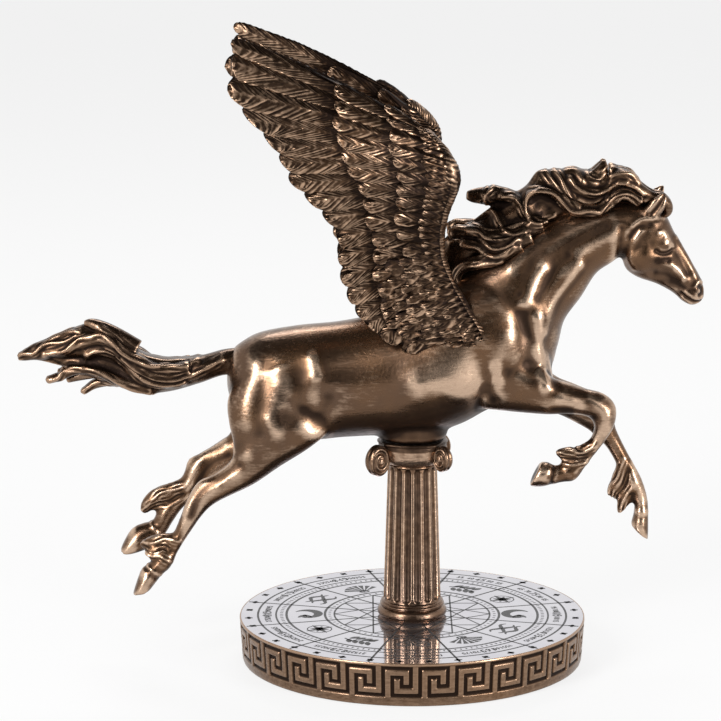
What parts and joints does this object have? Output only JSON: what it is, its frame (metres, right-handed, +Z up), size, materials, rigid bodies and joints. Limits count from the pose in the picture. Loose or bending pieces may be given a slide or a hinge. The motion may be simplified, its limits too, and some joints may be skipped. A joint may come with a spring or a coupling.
{
  "type": "pegasus figurine",
  "caption": "Leaping winged horse figurine in antique bronze finish, carried by a fluted column on a round base with a Greek key rim and a printed dial plate.",
  "frame": {"origin": "centre of the base on the surface it stands on", "axes": "+Z up, +X the way the horse faces, +Y to the horse's left"},
  "size_m": [0.2591, 0.1318, 0.2418],
  "materials": {
    "antique_bronze": "burnished antique bronze over cold-cast resin",
    "printed_silver": "glossy silver disc with black print",
    "brown_felt": "thin glued felt"
  },
  "bodies": {
    "root": {"horse": "antique_bronze", "left_wing": "antique_bronze", "right_wing": "antique_bronze", "column": "antique_bronze", "round_base": "antique_bronze", "dial_plate": "printed_silver", "felt_pad": "brown_felt"}
  },
  "joints": []
}
